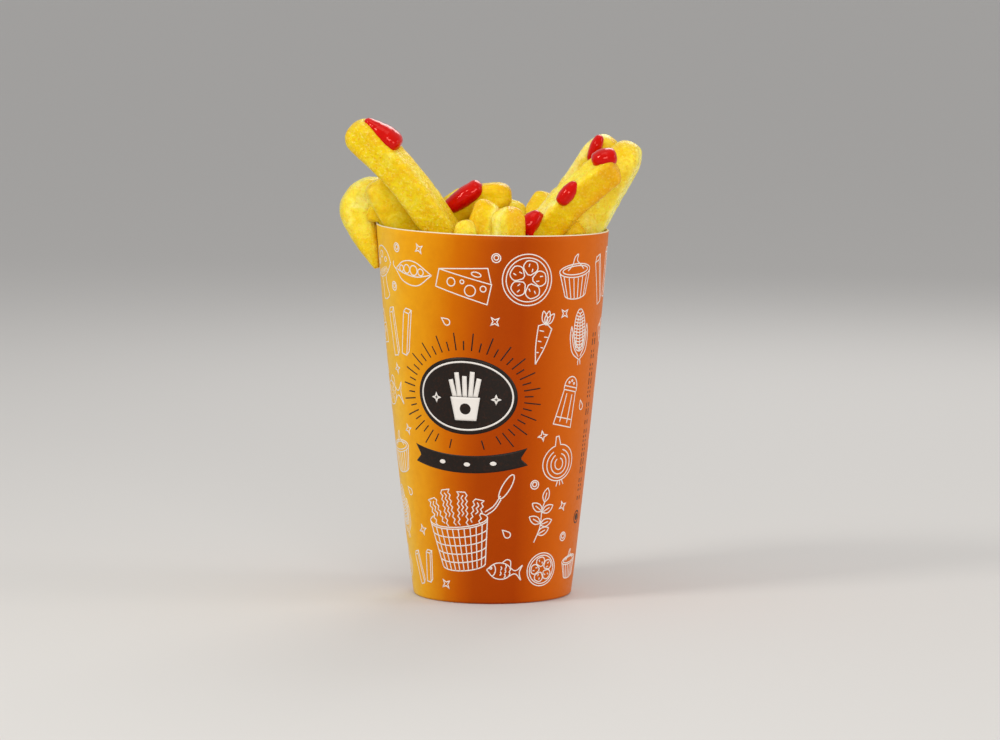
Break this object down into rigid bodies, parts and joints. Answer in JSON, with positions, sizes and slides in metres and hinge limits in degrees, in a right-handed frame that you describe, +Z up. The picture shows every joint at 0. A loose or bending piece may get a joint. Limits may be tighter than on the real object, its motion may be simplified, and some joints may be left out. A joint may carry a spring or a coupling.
{
  "type": "french fries in a carton",
  "caption": "Round tapered paper carton with a recessed base, heaped with leaning thick-cut french fries that stand above the rim and carry dabs of ketchup.",
  "frame": {"origin": "on the ground, at the middle of the outline, which is the middle of the round carton's base", "axes": "+Z up out of the carton's mouth, -Y to the front that carries the dark oval of the print, +X to the right of that front"},
  "size_m": [0.1044, 0.08, 0.1652],
  "materials": {
    "printed_board": "coated board with a soft sheen, printed orange outside",
    "plain_board": "uncoated off-white board",
    "fried_potato": "fried potato, golden, with a thin oily sheen",
    "ketchup": "wet and glossy"
  },
  "bodies": {
    "root": {"carton_wall": "printed_board", "carton_base": "plain_board", "fries": "fried_potato", "ketchup_dab_1": "ketchup", "ketchup_dab_2": "ketchup", "ketchup_dab_3": "ketchup", "ketchup_dab_4": "ketchup", "ketchup_dab_5": "ketchup", "ketchup_dab_6": "ketchup"}
  },
  "joints": []
}
